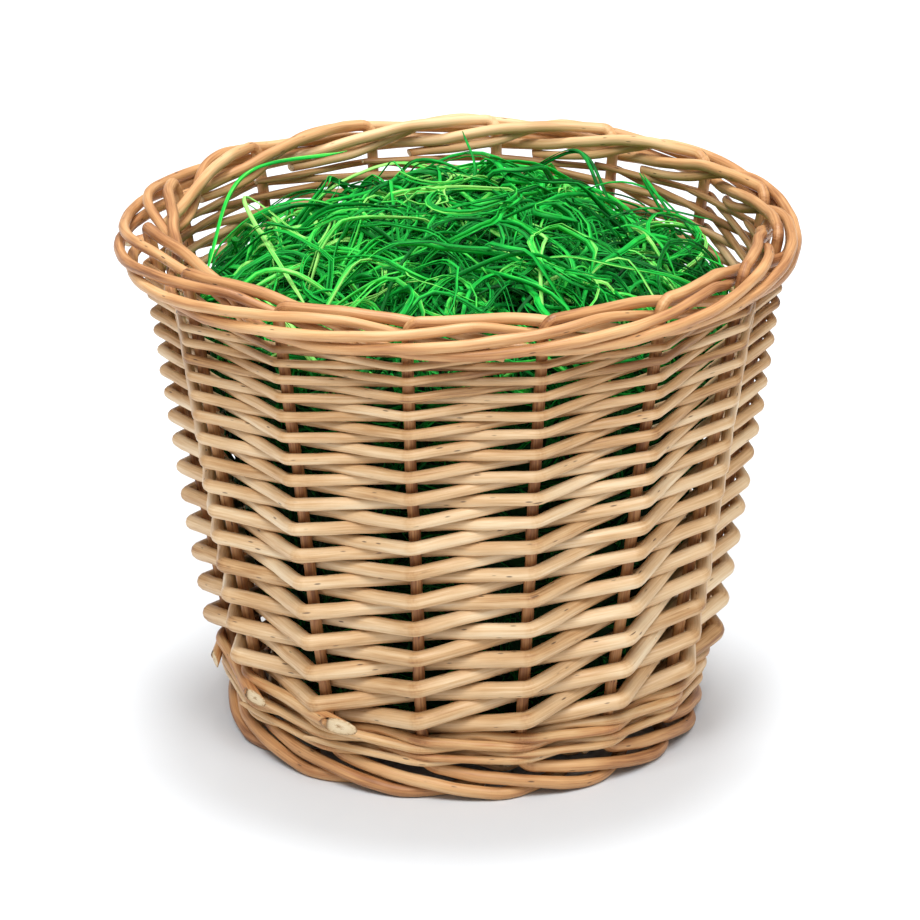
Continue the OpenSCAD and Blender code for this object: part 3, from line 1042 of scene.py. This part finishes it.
def make_wood_wool():
    """The layers of the nest, each with its number of strands and the most that lie in one tuft."""
    rng = random.Random(800)
    layers = {
        "wood_wool_top": tufts(rng, top_strand, 3500, 4),
        "wood_wool_strays": tufts(rng, stray_strand, 320, 3),
        "wood_wool_side": tufts(rng, side_strand, 2600, 5),
        "wood_wool_bottom": tufts(rng, bottom_strand, 650, 5),
    }
    pieces = [ribbons(name, strands, rng) for name, strands in layers.items()]
    loose = [made for spots, light in LOOSE_STRANDS for made in tuft(rng, loose_strand(spots), light, 2)]
    pieces.append(ribbons("wood_wool_loose", loose, rng, widths=(0.6, 0.9)))
    pieces.append(make_core())
    for piece in pieces:
        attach(piece, "filling")
        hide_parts("grass_filling")


# ---------------------------------------------------------------- studio
FLOOR_HALF = 6.0
SKY = 0.44
CAMERA_PLACE = (-0.0019, -2.112, 0.946)
CAMERA_TILT = 21.6
CAMERA_LENS = 215.2


def make_floor():
    mesh = bpy.data.meshes.new("studio_floor")
    corners = [(a * FLOOR_HALF, b * FLOOR_HALF, 0) for a, b in ((-1, -1), (1, -1), (1, 1), (-1, 1))]
    mesh.from_pydata(corners, [], [(0, 1, 2, 3)])
    mesh.materials.append(floor_paint())
    floor = bpy.data.objects.new("studio_floor", mesh)
    bpy.context.scene.collection.objects.link(floor)


def soft_sun(name, azimuth, elevation, spread, power):
    """A wide, even light from far away; the spread is the angle that it fills, in degrees."""
    data = bpy.data.lights.new(name, "SUN")
    data.angle = math.radians(spread)
    data.energy = power
    lamp = bpy.data.objects.new(name, data)
    bpy.context.scene.collection.objects.link(lamp)
    lamp.rotation_euler = (math.radians(90 - elevation), 0, math.radians(azimuth))


def make_light():
    world = bpy.data.worlds.new("studio")
    bpy.context.scene.world = world
    world.use_nodes = True
    sky = world.node_tree.nodes["Background"]
    sky.inputs["Color"].default_value = (1.0, 1.0, 1.0, 1.0)
    sky.inputs["Strength"].default_value = SKY
    soft_sun("key_left", -24, 57, 20, 1.42)
    soft_sun("key_right", 24, 55, 24, 1.25)
    soft_sun("top", 174, 82, 18, 2.45)
    bpy.context.scene.view_settings.view_transform = "Standard"


def make_camera():
    data = bpy.data.cameras.new("camera")
    data.sensor_width = 36
    data.lens = CAMERA_LENS
    data.clip_end = 50
    camera = bpy.data.objects.new("camera", data)
    bpy.context.scene.collection.objects.link(camera)
    camera.location = CAMERA_PLACE
    camera.rotation_euler = (math.radians(90 - CAMERA_TILT), 0, 0)
    bpy.context.scene.camera = camera


make_camera()
make_floor()
make_light()
for i in range(STAKES):
    make_stake(i)
for i in range(STAKES):
    make_weaver(i)
for k in range(WALE_RODS):
    make_wale_rod(k)
for m in range(BASE_STICKS // 2):
    make_through_stick(m)
for m in range(BASE_STICKS // 2):
    make_split_stick(m)
for k in range(2):
    make_base_weaver(k)
make_wood_wool()
